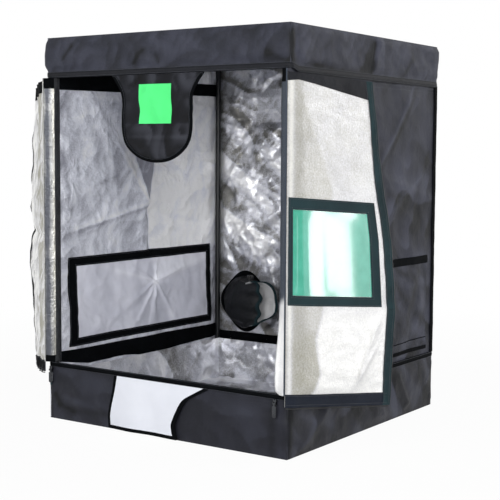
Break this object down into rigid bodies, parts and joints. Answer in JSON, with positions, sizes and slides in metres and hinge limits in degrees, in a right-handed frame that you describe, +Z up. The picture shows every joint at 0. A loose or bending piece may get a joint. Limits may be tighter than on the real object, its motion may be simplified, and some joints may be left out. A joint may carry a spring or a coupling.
{
  "type": "indoor grow tent",
  "caption": "Cloth-covered tube-frame grow tent with open door leaves, zip flaps, vent windows, duct sleeves, hanging bars and a floor tray.",
  "frame": {"origin": "middle of the floor panel's underside", "axes": "+Z up, +X to the right along the doorway, +Y from the doorway to the back wall"},
  "size_m": [1.1304, 0.8655, 1],
  "materials": {
    "black_cloth": "coated woven cloth, slight sheen",
    "black_tape": "matt binding tape",
    "silver_lining": "reflective film on cloth, crinkled",
    "grey_mesh": "fine insect mesh",
    "green_film": "clear tinted film, glossy",
    "green_patch": "smooth bright patch",
    "black_steel": "powder-coated steel tube",
    "black_plastic": "moulded plastic",
    "zip_metal": "plated zip metal",
    "black_cord": "round braided cord"
  },
  "bodies": {
    "tent": {"back_wall": "black_cloth", "bottom_rail_back": "black_steel", "bottom_rail_front": "black_steel", "bottom_rail_left": "black_steel", "bottom_rail_right": "black_steel", "corner_bottom_back_left": "black_plastic", "corner_bottom_back_right": "black_plastic", "corner_bottom_front_left": "black_plastic", "corner_bottom_front_right": "black_plastic", "corner_top_back_left": "black_plastic", "corner_top_back_right": "black_plastic", "corner_top_front_left": "black_plastic", "corner_top_front_right": "black_plastic", "exhaust_drawcord": "black_cord", "exhaust_sleeve": "black_cloth", "floor_panel": "black_cloth", "floor_tray": "silver_lining", "header_front": "black_cloth", "intake_drawcord": "black_cord", "intake_sleeve": "black_cloth", "left_door_binding": "black_tape", "left_vent_cover": "black_cloth", "left_vent_frame": "black_tape", "left_vent_mesh": "grey_mesh", "left_wall": "black_cloth", "right_door_binding": "black_tape", "right_vent_cover": "black_cloth", "right_vent_frame": "black_tape", "right_vent_mesh": "grey_mesh", "right_wall": "black_cloth", "roof_panel": "black_cloth", "sill_front": "black_cloth", "top_rail_back": "black_steel", "top_rail_front": "black_steel", "top_rail_left": "black_steel", "top_rail_right": "black_steel", "upright_back_left": "black_steel", "upright_back_right": "black_steel", "upright_front_left": "black_steel", "upright_front_right": "black_steel"},
    "right_leaf": {"right_door_leaf": "silver_lining", "window_frame": "black_tape", "window_film": "green_film", "window_cover": "black_cloth"},
    "right_window_strip": {"window_cover_strip": "black_tape"},
    "left_leaf": {"left_door_leaf": "silver_lining"},
    "upper_flap": {"upper_zip_flap": "black_cloth", "zip_flap_patch": "green_patch"},
    "lower_flap": {"lower_zip_flap": "silver_lining"},
    "left_vent_closure": {"left_vent_cover_strip": "black_tape"},
    "right_vent_closure": {"right_vent_cover_strip": "black_tape"},
    "right_slider": {"right_zip_slider": "zip_metal"},
    "right_pull": {"right_zip_pull": "zip_metal"},
    "left_slider": {"left_zip_slider": "zip_metal"},
    "left_pull": {"left_zip_pull": "zip_metal"},
    "front_bar": {"hanging_bar_front": "black_steel"},
    "back_bar": {"hanging_bar_back": "black_steel"},
    "intake_lock": {"intake_cord_lock": "black_plastic"},
    "exhaust_lock": {"exhaust_cord_lock": "black_plastic"}
  },
  "joints": [
    {"name": "right_leaf_swing", "type": "hinge", "parent": "tent", "child": "right_leaf", "pos_m": [0.3765, -0.392, 0.5], "axis": [0, 0, 1], "range_deg": [-256, 6]},
    {"name": "right_window_strip_slide", "type": "slide", "parent": "right_leaf", "child": "right_window_strip", "axis": [0, 0, -1], "range_m": [0, 0.18], "deforming": ["window_cover"]},
    {"name": "left_leaf_swing", "type": "hinge", "parent": "tent", "child": "left_leaf", "pos_m": [-0.3765, -0.392, 0.5], "axis": [0, 0, -1], "range_deg": [-220.5, 40]},
    {"name": "upper_flap_swing", "type": "hinge", "parent": "tent", "child": "upper_flap", "pos_m": [0, -0.3783, 0.8962], "axis": [-1, 0, 0], "range_deg": [-45, 160]},
    {"name": "lower_flap_swing", "type": "hinge", "parent": "tent", "child": "lower_flap", "pos_m": [0, -0.3783, 0.1392], "axis": [-1, 0, 0], "range_deg": [0, 165]},
    {"name": "left_vent_strip_slide", "type": "slide", "parent": "tent", "child": "left_vent_closure", "axis": [0, 0, -1], "range_m": [0, 0.2], "deforming": ["left_vent_cover"]},
    {"name": "right_vent_strip_slide", "type": "slide", "parent": "tent", "child": "right_vent_closure", "axis": [0, 0, -1], "range_m": [0, 0.2], "deforming": ["right_vent_cover"]},
    {"name": "right_slider_slide", "type": "slide", "parent": "tent", "child": "right_slider", "axis": [1, 0, 0], "range_m": [-0.19, 0.02]},
    {"name": "right_pull_swing", "type": "hinge", "parent": "right_slider", "child": "right_pull", "pos_m": [0.344, -0.3838, 0.13067], "axis": [-1, 0, 0], "range_deg": [0, 150]},
    {"name": "left_slider_slide", "type": "slide", "parent": "tent", "child": "left_slider", "axis": [-1, 0, 0], "range_m": [-0.195, 0.002]},
    {"name": "left_pull_swing", "type": "hinge", "parent": "left_slider", "child": "left_pull", "pos_m": [-0.366, -0.3838, 0.13067], "axis": [-1, 0, 0], "range_deg": [0, 150]},
    {"name": "front_bar_slide", "type": "slide", "parent": "tent", "child": "front_bar", "axis": [0, 1, 0], "range_m": [-0.1, 0.1]},
    {"name": "back_bar_slide", "type": "slide", "parent": "tent", "child": "back_bar", "axis": [0, 1, 0], "range_m": [-0.1, 0.1]},
    {"name": "intake_lock_slide", "type": "slide", "parent": "tent", "child": "intake_lock", "axis": [-0.6565, 0.75, -0.0802], "range_m": [-0.008, 0.03]},
    {"name": "exhaust_lock_slide", "type": "slide", "parent": "tent", "child": "exhaust_lock", "axis": [0, 0, -1], "range_m": [-0.008, 0.03]}
  ]
}
